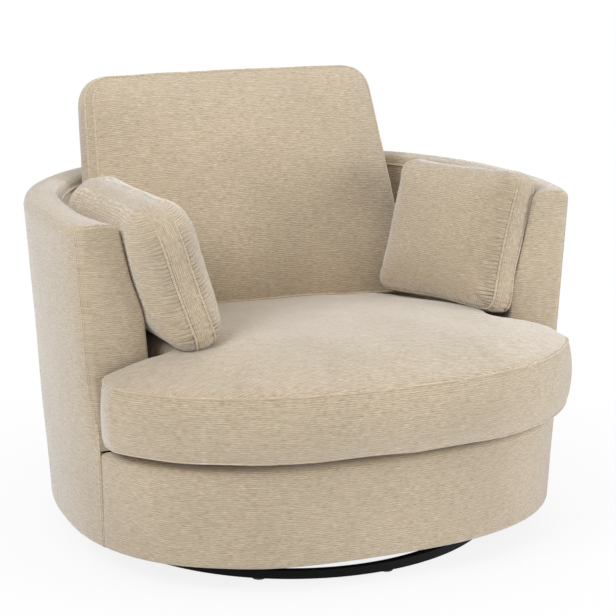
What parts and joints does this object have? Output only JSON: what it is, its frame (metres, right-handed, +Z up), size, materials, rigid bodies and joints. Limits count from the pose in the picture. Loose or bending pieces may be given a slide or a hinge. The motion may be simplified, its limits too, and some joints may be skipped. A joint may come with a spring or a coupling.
{
  "type": "swivel cuddle chair",
  "caption": "Round upholstered swivel chair with flat-fronted arms, a T-shaped seat cushion, a loose back cushion and loose side cushions on a low ring base.",
  "frame": {"origin": "centre of the bounding box at the floor, on the swivel axis", "axes": "+Z up, -Y the way the chair faces, +X to the right of someone looking at its front"},
  "size_m": [1.0376, 1.0207, 0.8636],
  "materials": {
    "upholstery": "ribbed chenille",
    "deck_cloth": "woven platform cloth",
    "dust_cloth": "spun dust cloth",
    "plywood": "bare plywood",
    "base_steel": "satin black powder coat",
    "zinc_steel": "zinc plated",
    "spring_steel": "oiled spring wire",
    "ball_steel": "polished",
    "cage_plastic": "natural nylon",
    "glide_plastic": "moulded"
  },
  "bodies": {
    "base": {"base_ring": "base_steel", "cross_bar_long": "base_steel", "cross_bar_short_left": "base_steel", "cross_bar_short_right": "base_steel", "glide_1": "glide_plastic", "glide_2": "glide_plastic", "glide_3": "glide_plastic", "glide_4": "glide_plastic", "glide_5": "glide_plastic", "glide_6": "glide_plastic", "glide_7": "glide_plastic", "glide_8": "glide_plastic", "glide_9": "glide_plastic", "glide_10": "glide_plastic", "swivel_lower_plate": "zinc_steel", "base_bolt_1": "zinc_steel", "base_bolt_2": "zinc_steel", "base_bolt_3": "zinc_steel", "base_bolt_4": "zinc_steel"},
    "bearing": {"ball_cage": "cage_plastic", "ball_1": "ball_steel", "ball_2": "ball_steel", "ball_3": "ball_steel", "ball_4": "ball_steel", "ball_5": "ball_steel", "ball_6": "ball_steel", "ball_7": "ball_steel"},
    "chair": {"swivel_upper_plate": "zinc_steel", "frame_screw_1": "zinc_steel", "frame_screw_2": "zinc_steel", "frame_screw_3": "zinc_steel", "frame_screw_4": "zinc_steel", "bottom_frame": "plywood", "seat_rail": "plywood", "top_rail": "plywood", "back_post_1": "plywood", "back_post_2": "plywood", "back_post_3": "plywood", "back_post_4": "plywood", "front_post_1": "plywood", "front_post_2": "plywood", "arm_post_left": "plywood", "arm_post_right": "plywood", "spring_rail_front": "plywood", "spring_rail_back": "plywood", "seat_spring_1": "spring_steel", "seat_spring_2": "spring_steel", "seat_spring_3": "spring_steel", "seat_spring_4": "spring_steel", "outer_cover": "upholstery", "inner_cover": "upholstery", "rim_cover": "upholstery", "arm_front_left": "upholstery", "arm_front_right": "upholstery", "deck_cloth": "deck_cloth", "dust_cover": "dust_cloth"},
    "seat": {"seat_cushion": "upholstery"},
    "back": {"back_cushion": "upholstery"},
    "side_left": {"side_cushion_left": "upholstery"},
    "side_right": {"side_cushion_right": "upholstery"}
  },
  "joints": [
    {"name": "swivel", "type": "hinge", "parent": "base", "child": "chair", "pos_m": [0, 0, 0.04365], "axis": [0, 0, 1], "continuous": true},
    {"name": "bearing_roll", "type": "hinge", "parent": "base", "child": "bearing", "pos_m": [0, 0, 0.04365], "axis": [0, 0, 1], "continuous": true},
    {"name": "seat_lift", "type": "slide", "parent": "chair", "child": "seat", "axis": [0, 0, 1], "range_m": [0, 0.43]},
    {"name": "back_lift", "type": "slide", "parent": "seat", "child": "back", "axis": [0, 0.3827, 0.9239], "range_m": [0, 0.3]},
    {"name": "side_left_lift", "type": "slide", "parent": "seat", "child": "side_left", "axis": [0, 0, 1], "range_m": [0, 0.3]},
    {"name": "side_right_lift", "type": "slide", "parent": "seat", "child": "side_right", "axis": [0, 0, 1], "range_m": [0, 0.3]}
  ],
  "couplings": [
    {"joint": "bearing_roll", "follows": "swivel", "ratio": 0.5}
  ]
}
